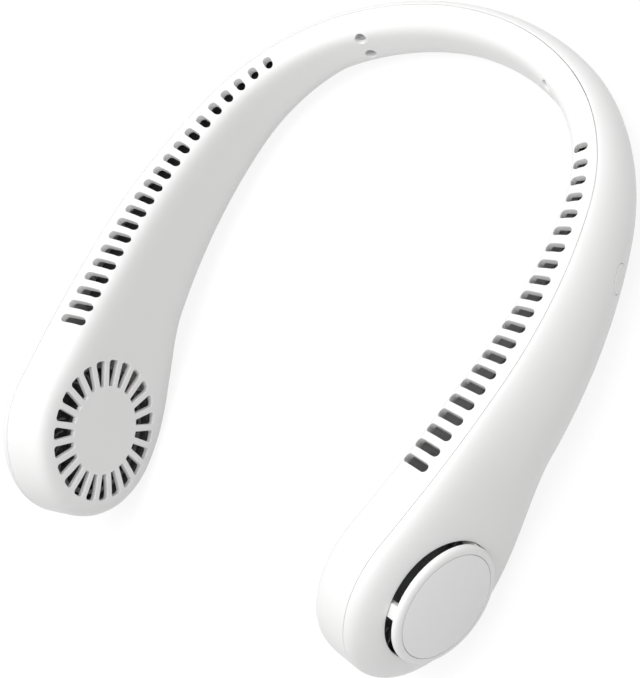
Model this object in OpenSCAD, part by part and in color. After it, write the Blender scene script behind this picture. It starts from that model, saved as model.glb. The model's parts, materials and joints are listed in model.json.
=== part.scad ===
// Electric neck fan: a rigid collar of two shells with a blower in each front lobe.
// It lies as on a table, on both lobes and the middle of the back.
// +X is the arm with the button, +Y the back of the collar, +Z up.
// Places along the collar are given as a length s from the middle of the back,
// an offset u outward from the parting line, and a height z below the top strip.

/* [Collar outline] */
// Distance of the parting line at the middle of the back
seam_back = 102.1; // [101:0.1:103]
// Radius of the back arc
back_radius = 102; // [98:1:106]
// Radius of the shoulder arcs
shoulder_radius = 80.9; // [79:0.1:83]
// Radius of the side arcs
side_radius = 194; // [189:1:199]
// Radius of the arcs before the lobes
front_radius = 490; // [460:5:520]
// Straight run from the last arc to the middle of the lobe
straight_run = 14.75; // [13.25:0.25:16.5]

/* [Sections] */
// Radius of a lobe seen from its side
lobe_radius = 32.8; // [32.4:0.1:34]
// Height of the section at the middle of the back
back_depth = 20; // [19.6:0.1:20.6]
// Place where the arm begins to grow taller
taper_start = 64; // [62:1:66]
// Length over which that growth sets in
taper_blend = 2.3; // [2:0.1:4]
// Length over which the arm flares into the lobe
flare_run = 59.4; // [57:0.2:61]
// Outer half width at the back
outer_back = 5.8; // [5.6:0.1:6.2]
// Outer half width at the arms and lobes
outer_front = 8.9; // [8.7:0.1:9.3]
// Length over which the outer half widens
swell_run = 163; // [157:1:169]
// Inner half width at the back
inner_back = 10.1; // [9.9:0.1:10.4]
// Inner half width at the lobes
inner_front = 17.5; // [17.3:0.1:18.2]
// Place where the inner half begins to widen
inner_start = 64; // [61:1:67]
// Length over which the inner half widens
inner_run = 145; // [141:1:149]
// Lean of the section at the back, its top outward, in degrees
lean_back = -2.4; // [-2.8:0.1:-2]
// Lean of the section at the lobes, its top outward, in degrees
lean_front = 2.1; // [1.7:0.1:2.5]
// Thickness of the shell walls
wall = 1.8; // [1.5:0.1:1.9]

/* [Air slots] */
// Number of slots on each arm
slot_count = 21; // [15:1:21]
// Width of a slot
slot_width = 3.2; // [2.4:0.1:3.6]
// Step from slot to slot at the front
slot_pitch = 6.12; // [5.5:0.02:6.2]
// How much each further slot at the back spreads
slot_spread = 0.06; // [0:0.001:0.07]
// Distance of the first slot from the middle of the lobe
slot_first = 27.6; // [26:0.1:29]
// Distance of the slots' outer ends from the parting line
slot_out = 4; // [3.6:0.1:4.4]
// Distance of the slots' inner ends from the neck side
slot_in = 2.8; // [2.5:0.1:3.2]
// Depth of the slot cut
slot_depth = 7; // [6:0.1:8]

/* [Grille] */
// Number of radial slots in a grille
grille_count = 23; // [15:1:25]
// Radius of the solid disc in the middle
grille_in = 16.4; // [16.2:0.1:17]
// Outer radius of the radial slots
grille_out = 26; // [24:0.1:26.4]
// Width of a radial slot at the disc
grille_in_width = 2.1; // [1.5:0.1:2.4]
// Width of a radial slot at its outer end
grille_out_width = 4.4; // [3:0.1:4.8]
// Radius of the corners there
grille_corner = 1.2; // [0.8:0.1:1.4]

/* [Intake cap] */
// Radius of the round opening in the outer shell
opening_radius = 21.7; // [21.5:0.1:22.2]
// Gap between the cap's legs and the opening
cap_gap = 0.1; // [0.05:0.01:0.2]
// Thickness of the cap
cap_t = 2.5; // [2.2:0.1:2.8]
// Height of the cap above the lobe
cap_stand = 3.3; // [3.1:0.1:3.6]
// Radius of the cap plate
plate_radius = 18.9; // [17.5:0.1:18.9]
// Thickness of the cap plate
plate_t = 0.8; // [0.6:0.1:1]
// Number of legs
leg_count = 3; // [2:1:4]
// Width of a leg
leg_width = 5; // [3:0.1:6]
// Turn of the first leg from the front of the lobe
leg_turn = 53; // [40:1:60]

/* [Button] */
// Place of the button along the arm
button_s = 130; // [129:0.5:131]
// Height of the button below the top strip
button_drop = 19; // [18.8:0.1:19.3]
// Length of the button
button_length = 10.4; // [9:0.1:11]
// Width of the button
button_width = 6.4; // [5.6:0.1:6.6]
// Travel of the button
button_travel = 0.4; // [0.2:0.05:0.4]
// Gap round the button
button_gap = 0.2; // [0.15:0.01:0.25]

/* [Blower] */
// Distance of the scroll wall from the edge of the lobe
scroll_edge = 5.6; // [5.4:0.1:6.2]
// Thickness of the scroll wall
scroll_t = 1.2; // [1:0.1:1.4]
// Gap between the impeller and the scroll wall
blower_gap = 1.9; // [1.4:0.1:2.4]
// Height of the impeller
impeller_height = 15.4; // [15:0.1:15.7]
// Number of blades
blade_count = 24; // [12:1:26]
// Radial length of a blade
blade_length = 7; // [6:0.1:8]
// Thickness of a blade
blade_t = 0.8; // [0.6:0.05:1]
// Outer radius of the rotor cup
cup_radius = 11.2; // [11.1:0.1:11.4]
// Height of the rotor cup
cup_height = 8; // [7.8:0.1:8.4]
// Radius of the motor shaft
shaft_radius = 0.75; // [0.6:0.05:0.8]

/* [Electrics] */
// Radius of a battery cell
cell_radius = 7; // [6:0.1:7]
// Length of a battery cell
cell_length = 48; // [40:0.5:49]
// Length of the main board
board_length = 26; // [24:0.5:27]
// Width of the main board
board_width = 12; // [11:0.1:12.4]
// Thickness of the circuit boards
board_t = 1.2; // [1:0.1:1.3]

/* [Hidden] */
$fn = 64;
over = 0.5;
fit_gap = 0.02;
seat_gap = 0.3;

// Turns of the four arcs, from the middle of the back to the lobe
arc_radii = [back_radius, shoulder_radius, side_radius, front_radius];
arc_turns = [28.05, 46.6, 20.1, 5.5];
taper_share = 0.198;
taper_angle = atan(taper_share);
outer_power_shares = [1.67, 2.36];
inner_power_shares = [3.1, 7.4];
// Share of the slots' end distances that is left at the back
slot_back_share = 0.8;
arm_rings = 28;
tip_angles = [0, 14, 28, 41, 53, 64, 73, 81, 87];
section_parts = 10;

function sum_to(i) = i < 0 ? 0 : arc_radii[i] * arc_turns[i] * PI / 180 + sum_to(i - 1);
lobe_s = sum_to(len(arc_radii) - 1) + straight_run;
flare_start = lobe_s - flare_run;

function mix(a, b, t) = a + (b - a) * t;
function ease(t) = let (c = min(1, max(0, t))) c * c * (3 - 2 * c);

// Point of the parting line at length s, with the direction of its outward side
function walk(s, i, x, y, a) =
    i == len(arc_radii) ? [x + s * sin(a), y - s * cos(a), a] :
    let (r = arc_radii[i], run = r * arc_turns[i] * PI / 180,
         t = min(s, run) / r * 180 / PI,
         nx = x + r * (cos(a - t) - cos(a)), ny = y + r * (sin(a - t) - sin(a)))
    s <= run ? [nx, ny, a - t] : walk(s - run, i + 1, nx, ny, a - t);
function plan_at(s) = walk(s, 0, 0, seam_back, 90);
function lean(s) = mix(lean_back, lean_front, min(1, abs(s) / lobe_s));
function place(s, u, z) =
    let (p = plan_at(abs(s)), k = s < 0 ? -1 : 1, t = lean(s), m = -depth(abs(s)) / 2,
         r = u * cos(t) + (z - m) * sin(t))
    [k * (p[0] + r * cos(p[2])), p[1] + r * sin(p[2]), m + (z - m) * cos(t) - u * sin(t)];

function arm_line(s) = back_depth
    + taper_share * (sqrt(pow(s - taper_start, 2) + pow(taper_blend, 2)) + s - taper_start) / 2;
function flare(s) = ease((s - flare_start) / flare_run);
function depth(s) = mix(arm_line(s), 2 * lobe_radius, flare(s));
function half_width(s, side) = side > 0
    ? mix(outer_back, outer_front, ease(s / swell_run))
    : mix(inner_back, inner_front, ease((s - inner_start) / inner_run));
function power(s, side) = side > 0
    ? mix(outer_power_shares[0], outer_power_shares[1], flare(s))
    : mix(inner_power_shares[0], inner_power_shares[1], min(1, s / lobe_s));

// Offset of the skin at length s and height z, set in by the inset w
function skin_u(s, z, side, w) =
    let (n = power(s, side), q = min(1, abs(z + depth(s) / 2) / (depth(s) / 2 - w)))
    side * (half_width(s, side) - w) * pow(1 - pow(q, n), 1 / n);

// One ring of section points of station k, on one side, set in by w
function ring(k, side, w) =
    let (i = abs(k), tip = max(0, i - arm_rings), b = tip_angles[tip],
         s = tip == 0 ? lobe_s * i / arm_rings : lobe_s + (lobe_radius - w) * sin(b),
         a = tip == 0 ? depth(s) / 2 - w : (lobe_radius - w) * cos(b),
         m = tip == 0 ? -depth(s) / 2 : -lobe_radius,
         n = power(s, side), h = half_width(s, side) - w)
    [for (j = [0 : section_parts])
        let (c = cos(180 * j / section_parts), e = pow(abs(c), 2 / n),
             rho = sqrt(pow(sin(b), 2) + pow(cos(b) * e, 2)))
        place(k < 0 ? -s : s, side * h * pow(max(0, 1 - pow(rho, n)), 1 / n), m + a * sign(c) * e)];

last = arm_rings + len(tip_angles) - 1;
ring_count = 2 * last + 1;
function skin(side, w) = [for (k = [-last : last]) each ring(k, side, w)];

// A trough of constant wall with its mouth on the parting line
module half_shell(side) {
    m = section_parts + 1;
    n = ring_count * m;
    function quad(a, b, c, d, flip) = flip ? [[a, c, b], [a, d, c]] : [[a, b, c], [a, c, d]];
    function grid(base, flip) = [for (i = [0 : ring_count - 2], j = [0 : section_parts - 1])
        each quad(base + i * m + j, base + i * m + j + 1, base + (i + 1) * m + j + 1,
            base + (i + 1) * m + j, flip)];
    function end_face(base, i, flip) = [[for (j = [0 : section_parts])
        base + i * m + (flip ? section_parts - j : j)]];
    loop = concat([for (i = [0 : ring_count - 1]) i * m],
        [for (i = [0 : ring_count - 1]) (ring_count - 1 - i) * m + section_parts]);
    rim = [for (i = [0 : len(loop) - 1]) let (a = loop[i], b = loop[(i + 1) % len(loop)])
        each quad(a, b, n + b, n + a, side < 0)];
    f = side < 0;
    polyhedron(concat(skin(side, 0), skin(side, wall)),
        concat(grid(0, f), end_face(0, 0, !f), end_face(0, ring_count - 1, f),
            grid(n, !f), end_face(n, 0, f), end_face(n, ring_count - 1, !f), rim));
}

// The collar lies on its lobes and back: the tilt and the lift follow from its skin
back_skin = ring(0, 1, 0);
lobe_skin = [for (k = [arm_rings - 4 : last]) each concat(ring(k, 1, 0), ring(k, -1, 0))];
function tilted_z(p, t) = p[2] * cos(t) - p[1] * sin(t);
function tilted_y(p, t) = p[1] * cos(t) + p[2] * sin(t);
function lowest(points, t) = min([for (p = points) tilted_z(p, t)]);
function find_tilt(a, b, i) = let (t = (a + b) / 2)
    i == 0 ? t : lowest(lobe_skin, t) < lowest(back_skin, t)
        ? find_tilt(t, b, i - 1) : find_tilt(a, t, i - 1);
tilt_from = 5;
tilt_to = 25;
tilt_halvings = 20;
rest_tilt = find_tilt(tilt_from, tilt_to, tilt_halvings);
rest_lift = -lowest(lobe_skin, rest_tilt);
mid_y = (max([for (p = back_skin) tilted_y(p, rest_tilt)])
    + min([for (p = lobe_skin) tilted_y(p, rest_tilt)])) / 2;
module rest() {
    translate([0, -mid_y, rest_lift]) rotate([-rest_tilt, 0, 0]) children();
}

module right_side() { rest() children(); }
module left_side() { rest() mirror([1, 0, 0]) children(); }
module both_sides() { children(); mirror([1, 0, 0]) children(); }

// Local frame on the arm: X outward, Y to the back, Z up
module on_arm(s, u, z) {
    translate(place(s, u, z)) rotate([0, lean(s), plan_at(s)[2]]) children();
}
// Local frame of a lobe: Z outward along the motor axis, X down, Y to the back
module at_lobe() { on_arm(lobe_s, 0, -lobe_radius) rotate([0, 90, 0]) children(); }
// Local frame of the button: X outward, Y to the back along the arm's slope
module at_button() { on_arm(button_s, 0, -button_drop) rotate([taper_angle, 0, 0]) children(); }

// Outline with two round ends, along X from 0 to the length
function pill(length, width) = concat(
    [for (a = [-90 : 15 : 90]) [length - width / 2 + width / 2 * cos(a), width / 2 * sin(a)]],
    [for (a = [90 : 15 : 270]) [width / 2 + width / 2 * cos(a), width / 2 * sin(a)]]);

module tube_ring(r_out, r_in, z0, z1) {
    difference() {
        translate([0, 0, z0]) cylinder(r = r_out, h = z1 - z0);
        translate([0, 0, z0 - over]) cylinder(r = r_in, h = z1 - z0 + 2 * over);
    }
}

// Levels along the motor axis, from the neck side outward
floor_z = wall - inner_front;
motor_boss = 1;
motor_base_t = 1;
motor_base_radius = 16;
base_z = floor_z + motor_boss;
base_top = base_z + motor_base_t;
motor_board_t = 0.8;
motor_board_radius = 9;
stator_lift = 0.9;
stator_z = base_top + motor_board_t + stator_lift;
stator_height = 4;
cup_lift = 1.2;
cup_t = 0.6;
cup_z = base_top + cup_lift;
cup_top = cup_z + cup_height;
magnet_t = 1;
air_gap = 0.4;
magnet_radius = cup_radius - cup_t - fit_gap;
stator_radius = magnet_radius - magnet_t - air_gap;
sleeve_radius = 3;
sleeve_bore = 2;
sleeve_top = cup_top - cup_t - seat_gap;
motor_screw_head_t = 0.7;
blade_gap = 0.3;
impeller_z = base_top + motor_screw_head_t + blade_gap;
scroll_radius = lobe_radius - scroll_edge;
impeller_radius = scroll_radius - scroll_t - blower_gap;
hub_t = 1.1;
impeller_top = impeller_z + impeller_height;
motor_screw_circle = 14;
motor_screw_count = 3;
motor_screw_radius = 0.75;
motor_screw_head = 1.3;
motor_screw_length = 2.2;
screw_clear = 0.1;

// Shell screws at the back
screw_s = 49;
screw_z = [-4.4, -13.2];
screw_radius = 1;
screw_head = 1.9;
screw_head_t = 1.3;
screw_bore = 2.1;
tube_radius = 3.1;
tube_end = 2.9;
tube_floor = 1;
post_radius = 2.4;
post_margin = 0.3;
screw_tip = 2.6;

// Inner shell with its slots, grilles and bosses
module air_slots() {
    for (k = [0 : slot_count - 1]) {
        far = max(0, k - slot_count / 2 + 0.5);
        s = lobe_s - slot_first - slot_pitch * k - slot_spread * pow(far, 2);
        share = mix(slot_back_share, 1, ease((s - inner_start) / inner_run));
        length = half_width(s, -1) - share * (slot_in + slot_out);
        on_arm(s, -share * slot_out, -slot_depth) mirror([1, 0, 0])
            linear_extrude(slot_depth + over) polygon(pill(length, slot_width));
    }
}

module grille_slots() {
    w0 = grille_in_width / 2;
    w1 = grille_out_width / 2;
    far = grille_out - grille_corner;
    high = w1 - grille_corner;
    outline = concat([[grille_in, w0], [grille_in, -w0]],
        [for (a = [-90 : 30 : 0]) [far + grille_corner * cos(a), grille_corner * sin(a) - high]],
        [for (a = [0 : 30 : 90]) [far + grille_corner * cos(a), grille_corner * sin(a) + high]]);
    at_lobe() translate([0, 0, -inner_front - over])
        for (i = [0 : grille_count - 1])
            rotate(360 * (i + 0.5) / grille_count)
                linear_extrude(2 * wall + 2 * over) polygon(outline);
}

module motor_screw_places() {
    at_lobe() for (i = [0 : motor_screw_count - 1])
        rotate(360 * i / motor_screw_count) translate([motor_screw_circle, 0, 0]) children();
}

module shell_screw_places() {
    for (z = screw_z) on_arm(screw_s, 0, z) rotate([0, 90, 0]) children();
}

// How far a post may reach outward and still end inside the wall
function post_end(z) = min(skin_u(screw_s, z, 1, wall / 3),
    skin_u(screw_s, z + post_radius, 1, 0) - post_margin,
    skin_u(screw_s, z - post_radius, 1, 0) - post_margin);
// How far a screw tube may reach inward and still end inside the wall
function tube_start(z) = -max(skin_u(screw_s, z + tube_radius, -1, 0),
    skin_u(screw_s, z - tube_radius, -1, 0)) - post_margin;

module inner_shell() {
    boss_radius = 2.2;
    color("#f4f4f4") rest() difference() {
        union() {
            half_shell(-1);
            both_sides() {
                motor_screw_places() translate([0, 0, floor_z - wall / 2])
                    cylinder(r = boss_radius, h = motor_boss + wall / 2);
                for (z = screw_z) on_arm(screw_s, -tube_start(z), z) rotate([0, 90, 0])
                    cylinder(r = tube_radius, h = tube_start(z) - tube_end);
            }
        }
        both_sides() {
            air_slots();
            grille_slots();
            motor_screw_places() translate([0, 0, base_z - motor_screw_length])
                cylinder(r = motor_screw_radius + fit_gap, h = motor_screw_length + over);
            shell_screw_places() {
                translate([0, 0, -tube_end - tube_floor - inner_back])
                    cylinder(r = screw_bore, h = inner_back);
                translate([0, 0, -tube_end - tube_floor - over])
                    cylinder(r = screw_radius + screw_clear, h = tube_floor + 2 * over);
            }
        }
    }
}

// Outer shell with its openings and posts
socket_width = 9;
socket_height = 3.2;
socket_depth = 7.3;
socket_wall = 0.3;
socket_gap = 0.3;
port_y = 10.5;
board_x = 0.4;
socket_drop = 7.8;
port_cut = 8;
port_lead = 3;
// Turns the start of the round opening away from the skin's rings
opening_turn = 7;

module port_outline(length, width) {
    translate([0, -length / 2]) rotate(90) polygon(pill(length, width));
}

module outer_shell() {
    color("#f4f4f4") rest() difference() {
        union() {
            half_shell(1);
            both_sides() for (z = screw_z) on_arm(screw_s, screw_clear - tube_end, z)
                rotate([0, 90, 0])
                    cylinder(r = post_radius, h = post_end(z) + tube_end - screw_clear);
        }
        both_sides() {
            at_lobe() rotate(opening_turn) translate([0, 0, wall])
                cylinder(r = opening_radius, h = outer_front);
            shell_screw_places() translate([0, 0, -tube_end - over])
                cylinder(r = screw_radius + fit_gap, h = tube_end + screw_tip + 2 * over);
        }
        at_button() translate([wall, 0, 0]) rotate([0, 90, 0]) linear_extrude(outer_front)
            port_outline(button_length + 2 * button_gap, button_width + 2 * button_gap);
        at_button() translate([board_x + board_t + socket_height / 2, port_y, -socket_drop - port_cut])
            linear_extrude(port_cut + port_lead)
                port_outline(socket_width + 2 * socket_gap, socket_height + 2 * socket_gap);
    }
}

// Intake cap, held in its opening by hooked legs
cap_radius = opening_radius - 2 * cap_gap;
cap_top = outer_front + cap_stand;
cap_z = cap_top - cap_t;
cap_slope = 2.5;
cap_drop = 1.6;
leg_depth = 5.5;
leg_inset = 2.6;
hook_reach = 1.4;
hook_t = 0.7;

module intake_cap() {
    seat = plate_radius + fit_gap;
    color("#f2f2f2") at_lobe() {
        rotate_extrude() polygon(concat(
            [[0, cap_z], [cap_radius, cap_z]],
            [for (a = [0 : 10 : 90]) [cap_radius - cap_slope * (1 - cos(a)),
                cap_top - cap_drop * (1 - sin(a))]],
            [[seat, cap_top], [seat, cap_top - plate_t], [0, cap_top - plate_t]]));
        for (i = [0 : leg_count - 1]) rotate(270 - leg_turn - 360 * i / leg_count) {
            translate([cap_radius - leg_inset, -leg_width / 2, cap_z - leg_depth])
                cube([leg_inset - cap_gap, leg_width, leg_depth + cap_t / 2]);
            translate([cap_radius - leg_inset, -leg_width / 2, cap_z - leg_depth])
                cube([leg_inset + hook_reach, leg_width, hook_t]);
        }
    }
}

module cap_plate() {
    color("#dcdcdc") at_lobe() translate([0, 0, cap_top - plate_t])
        cylinder(r = plate_radius, h = plate_t);
}

// Blower: an impeller round a flat outrunner motor
module blade() {
    r0 = impeller_radius - blade_length;
    sweep = 14;
    steps = 4;
    front = [for (i = [0 : steps]) let (r = r0 + blade_length * i / steps,
        a = sweep * pow(i / steps, 2)) [r * cos(a), r * sin(a)]];
    back = [for (i = [0 : steps]) let (r = r0 + blade_length * (steps - i) / steps,
        a = sweep * pow((steps - i) / steps, 2) + blade_t / r * 180 / PI) [r * cos(a), r * sin(a)]];
    linear_extrude(impeller_height) polygon(concat(front, back));
}

module impeller() {
    rim_t = 0.8;
    rim_width = 1.6;
    web_t = 1;
    hub_in = cup_radius + fit_gap;
    hub_out = hub_in + hub_t;
    web_z = cup_top - web_t;
    trim = 0.1;
    color("#7c7e80") at_lobe() {
        tube_ring(hub_out, hub_in, cup_z, cup_top + hub_t);
        tube_ring(hub_in + fit_gap, shaft_radius + fit_gap, cup_top, cup_top + hub_t);
        tube_ring(impeller_radius - trim, hub_out - trim, web_z, web_z + web_t);
        translate([0, 0, impeller_z]) for (i = [0 : blade_count - 1])
            rotate(360 * i / blade_count) blade();
        tube_ring(impeller_radius + trim, impeller_radius - rim_width, impeller_z, impeller_z + rim_t);
        tube_ring(impeller_radius + trim, impeller_radius - rim_width,
            impeller_top - rim_t, impeller_top);
    }
}

module rotor_cup() {
    color("#b8bcc0") at_lobe() difference() {
        translate([0, 0, cup_z]) cylinder(r = cup_radius, h = cup_height);
        translate([0, 0, cup_z - over])
            cylinder(r = cup_radius - cup_t, h = cup_height - cup_t + over);
        translate([0, 0, cup_z]) cylinder(r = shaft_radius + fit_gap / 2, h = cup_height + over);
    }
}

module magnet() {
    magnet_lift = 0.2;
    magnet_height = 5.2;
    color("#3a3a3c") at_lobe() tube_ring(magnet_radius, magnet_radius - magnet_t,
        cup_z + magnet_lift, cup_z + magnet_lift + magnet_height);
}

shaft_foot = 0.4;
module motor_shaft() {
    color("#c8ccd0") at_lobe() translate([0, 0, base_z + shaft_foot])
        cylinder(r = shaft_radius, h = cup_top + hub_t - base_z - shaft_foot);
}

module motor_base() {
    color("#a8acb0") at_lobe() difference() {
        union() {
            translate([0, 0, base_z]) cylinder(r = motor_base_radius, h = motor_base_t);
            translate([0, 0, base_z]) cylinder(r = sleeve_radius, h = sleeve_top - base_z);
        }
        translate([0, 0, base_z + shaft_foot / 2])
            cylinder(r = sleeve_bore, h = sleeve_top - base_z + over);
        for (i = [0 : motor_screw_count - 1]) rotate(360 * i / motor_screw_count)
            translate([motor_screw_circle, 0, base_z - over])
                cylinder(r = motor_screw_radius + screw_clear, h = motor_base_t + 2 * over);
    }
}

module motor_board() {
    color("#1f6b3a") at_lobe()
        tube_ring(motor_board_radius, sleeve_radius + screw_clear, base_top, base_top + motor_board_t);
}

tooth_count = 6;
tooth_width = 2;
core_t = 1.4;
tip_t = 0.9;
core_radius = sleeve_radius + fit_gap + core_t;
module stator() {
    gap_width = 1.6;
    color("#8a8d90") at_lobe() {
        tube_ring(core_radius, sleeve_radius + fit_gap, stator_z, stator_z + stator_height);
        difference() {
            tube_ring(stator_radius, stator_radius - tip_t, stator_z, stator_z + stator_height);
            for (i = [0 : tooth_count - 1]) rotate(360 * (i + 0.5) / tooth_count)
                translate([stator_radius / 2, -gap_width / 2, stator_z - over])
                    cube([stator_radius, gap_width, stator_height + 2 * over]);
        }
        for (i = [0 : tooth_count - 1]) rotate(360 * i / tooth_count)
            translate([core_radius - core_t / 2, -tooth_width / 2, stator_z])
                cube([stator_radius - tip_t / 2 - core_radius + core_t / 2, tooth_width, stator_height]);
    }
}

module coils() {
    coil_t = 0.7;
    color("#b87333") at_lobe() for (i = [0 : tooth_count - 1]) rotate(360 * i / tooth_count)
        difference() {
            translate([core_radius + seat_gap, -tooth_width / 2 - coil_t, stator_z - coil_t])
                cube([stator_radius - tip_t - core_radius - 2 * seat_gap,
                    tooth_width + 2 * coil_t, stator_height + 2 * coil_t]);
            translate([core_radius, -tooth_width / 2 - fit_gap, stator_z - fit_gap])
                cube([stator_radius, tooth_width + 2 * fit_gap, stator_height + 2 * fit_gap]);
        }
}

module bearings() {
    bearing_height = 1.5;
    bearing_lift = 0.5;
    color("#d0d4d8") at_lobe() for (z = [base_z + bearing_lift, sleeve_top - bearing_height])
        tube_ring(sleeve_bore - fit_gap / 2, shaft_radius + fit_gap, z, z + bearing_height);
}

// Offset of a lobe's inner skin at a distance from the motor axis
function lobe_room(r, side) = let (n = power(lobe_s, side))
    (half_width(lobe_s, side) - wall) * pow(1 - pow(r / (lobe_radius - wall), n), 1 / n);

module scroll() {
    scroll_gap = 0.6;
    scroll_z = scroll_gap - lobe_room(scroll_radius, -1);
    scroll_top = lobe_room(scroll_radius, 1) - scroll_gap;
    reach = 2 * scroll_radius;
    mouth = [60, 82, 104, 126, 148, 170];
    color("#7c7e80") at_lobe() difference() {
        tube_ring(scroll_radius, scroll_radius - scroll_t, scroll_z, scroll_top);
        translate([0, 0, scroll_z - over]) linear_extrude(scroll_top - scroll_z + 2 * over)
            polygon(concat([[0, 0]], [for (a = mouth) [reach * cos(a), reach * sin(a)]]));
    }
}

// Wall along each arm between the air duct and the electrics
duct_share = 0.33;
duct_t = 1.2;
duct_from = 66;
duct_to = 204;
duct_steps = 14;
module duct_wall() {
    pts = [for (i = [0 : duct_steps]) let (s = mix(duct_from, duct_to, i / duct_steps),
        z = -duct_share * depth(s), ui = skin_u(s, z, -1, wall) + seat_gap,
        uo = skin_u(s, z, 1, wall) - seat_gap)
        each [place(s, ui, z), place(s, uo, z), place(s, uo, z - duct_t), place(s, ui, z - duct_t)]];
    sides = [for (i = [0 : duct_steps - 1], j = [0 : 3])
        let (a = 4 * i + j, b = 4 * i + (j + 1) % 4, c = b + 4, d = a + 4)
        each [[a, b, c], [a, c, d]]];
    n = 4 * duct_steps;
    color("#6a6c6e") polyhedron(pts, concat(sides, [[3, 2, 1, 0]], [[n, n + 1, n + 2, n + 3]]));
}

cell_s = 166;
cell_u = -4;
cell_lift = 0.6;
module cell() {
    cap_r = 2.2;
    cap_h = 1;
    z = -depth(cell_s) + wall + cell_lift + cell_radius;
    color("#2e5fa8") on_arm(cell_s, cell_u, z) rotate([taper_angle + 90, 0, 0]) {
        translate([0, 0, -cell_length / 2]) cylinder(r = cell_radius, h = cell_length - cap_h);
        translate([0, 0, cell_length / 2 - cap_h]) cylinder(r = cap_r, h = cap_h);
    }
}

// Main board with its parts, and the button
board_back = 16;
board_up = 2.6;
module main_board() {
    color("#1f6b3a") at_button()
        translate([board_x, board_back - board_length, board_up - board_width])
            cube([board_t, board_length, board_width]);
}

module charging_socket() {
    tongue_t = 0.7;
    tongue_inset = 0.8;
    color("#c0c4c8") at_button()
        translate([board_x + board_t + socket_height / 2, port_y, -socket_drop]) {
            difference() {
                linear_extrude(socket_depth) port_outline(socket_width, socket_height);
                translate([0, 0, -over]) linear_extrude(socket_depth - socket_wall + over)
                    port_outline(socket_width - 2 * socket_wall, socket_height - 2 * socket_wall);
            }
            translate([-tongue_t / 2, tongue_inset * 2 - socket_width / 2, tongue_inset])
                cube([tongue_t, socket_width - 4 * tongue_inset, socket_depth - tongue_inset]);
        }
}

switch_size = 4.4;
switch_height = 2.4;
plunger_radius = 1.1;
plunger_gap = 0.08;
plunger_bore = 1.4;
plunger_rest = 0.5;
flange_t = 0.7;
flange_reach = 0.8;
button_proud = 0.1;
button_depth = 3.8;
button_face = skin_u(button_s, -button_drop, 1, 0) + button_proud;
button_foot = button_face - button_depth;
switch_top = board_x + board_t + switch_height;
module push_switch() {
    color("#303234") at_button() difference() {
        translate([board_x + board_t, -switch_size / 2, -switch_size / 2])
            cube([switch_height, switch_size, switch_size]);
        translate([switch_top - plunger_bore, 0, 0]) rotate([0, 90, 0])
            cylinder(r = plunger_radius + plunger_gap, h = plunger_bore + over);
    }
}

module switch_plunger() {
    from = switch_top - plunger_bore + plunger_rest;
    color("#e8e8e8") at_button() translate([from, 0, 0]) rotate([0, 90, 0])
        cylinder(r = plunger_radius, h = button_foot - from);
}

module power_button() {
    color("#f4f4f4") at_button() rotate([0, 90, 0]) {
        translate([0, 0, button_foot]) linear_extrude(button_face - button_foot)
            port_outline(button_length, button_width);
        translate([0, 0, button_foot]) linear_extrude(flange_t)
            port_outline(button_length + 2 * flange_reach, button_width + 2 * flange_reach);
    }
}

module status_lamp() {
    lamp = [0.6, 1.6, 0.8];
    lamp_y = 3.4;
    lamp_z = 1.4;
    color("#dfe8ff") at_button() translate([board_x + board_t, lamp_y, lamp_z]) cube(lamp);
}

module control_chip() {
    chip = [0.9, 5, 5];
    chip_y = 3;
    chip_z = 6.5;
    color("#26282a") at_button() translate([board_x - chip[0], chip_y, -chip_z]) cube(chip);
}

// Fasteners
module cross_slot(size, deep) {
    for (a = [0, 90]) rotate(a) translate([-size / 2, -size / 8, -over])
        cube([size, size / 4, deep + over]);
}

module shell_screws() {
    color("#9a9ea2") rest() both_sides() shell_screw_places() difference() {
        union() {
            translate([0, 0, -tube_end - tube_floor - screw_head_t])
                cylinder(r = screw_head, h = screw_head_t);
            translate([0, 0, -tube_end - tube_floor])
                cylinder(r = screw_radius, h = tube_end + tube_floor + screw_tip);
        }
        translate([0, 0, -tube_end - tube_floor - screw_head_t])
            cross_slot(screw_head * 1.2, screw_head_t / 2);
    }
}

module motor_screws() {
    color("#9a9ea2") rest() both_sides() motor_screw_places() {
        translate([0, 0, base_top]) cylinder(r = motor_screw_head, h = motor_screw_head_t);
        translate([0, 0, base_z - motor_screw_length + seat_gap])
            cylinder(r = motor_screw_radius, h = motor_screw_length - seat_gap + motor_base_t);
    }
}

// Wires: a tube along knots [s, u, z]
wire_radius = 0.7;
wire_step = 6;
function knot_at(k, t) = let (i = min(len(k) - 2, floor(t)), f = t - i,
    a = k[max(0, i - 1)], b = k[i], c = k[i + 1], d = k[min(len(k) - 1, i + 2)])
    b + (c - a) * f / 2 + (2 * a - 5 * b + 4 * c - d) * f * f / 2
        + (3 * b - a - 3 * c + d) * f * f * f / 2;
function unit(v) = v / norm(v);
module wire(knots, rings, color_name) {
    path = [for (i = [0 : rings]) let (p = knot_at(knots, (len(knots) - 1) * i / rings))
        place(p[0], p[1], p[2])];
    sides = 8;
    pts = [for (i = [0 : rings]) let (
        t = unit(path[min(rings, i + 1)] - path[max(0, i - 1)]),
        x = unit(cross(t, [0, 0, 1])), y = cross(x, t))
        for (j = [0 : sides - 1]) path[i] + wire_radius * (cos(360 * j / sides) * x
            + sin(360 * j / sides) * y)];
    faces = concat(
        [for (i = [0 : rings - 1], j = [0 : sides - 1]) let (a = sides * i + j,
            b = sides * i + (j + 1) % sides) each [[a, b, b + sides], [a, b + sides, a + sides]]],
        [[for (j = [0 : sides - 1]) sides - 1 - j]], [[for (j = [0 : sides - 1]) sides * rings + j]]);
    color(color_name) polyhedron(pts, faces);
}

wire_board_gap = 4;
wire_motor_gap = 0.4;
wire_start_s = button_s + wire_board_gap;
wire_end_s = lobe_s - motor_base_radius - wire_motor_gap;
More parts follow.
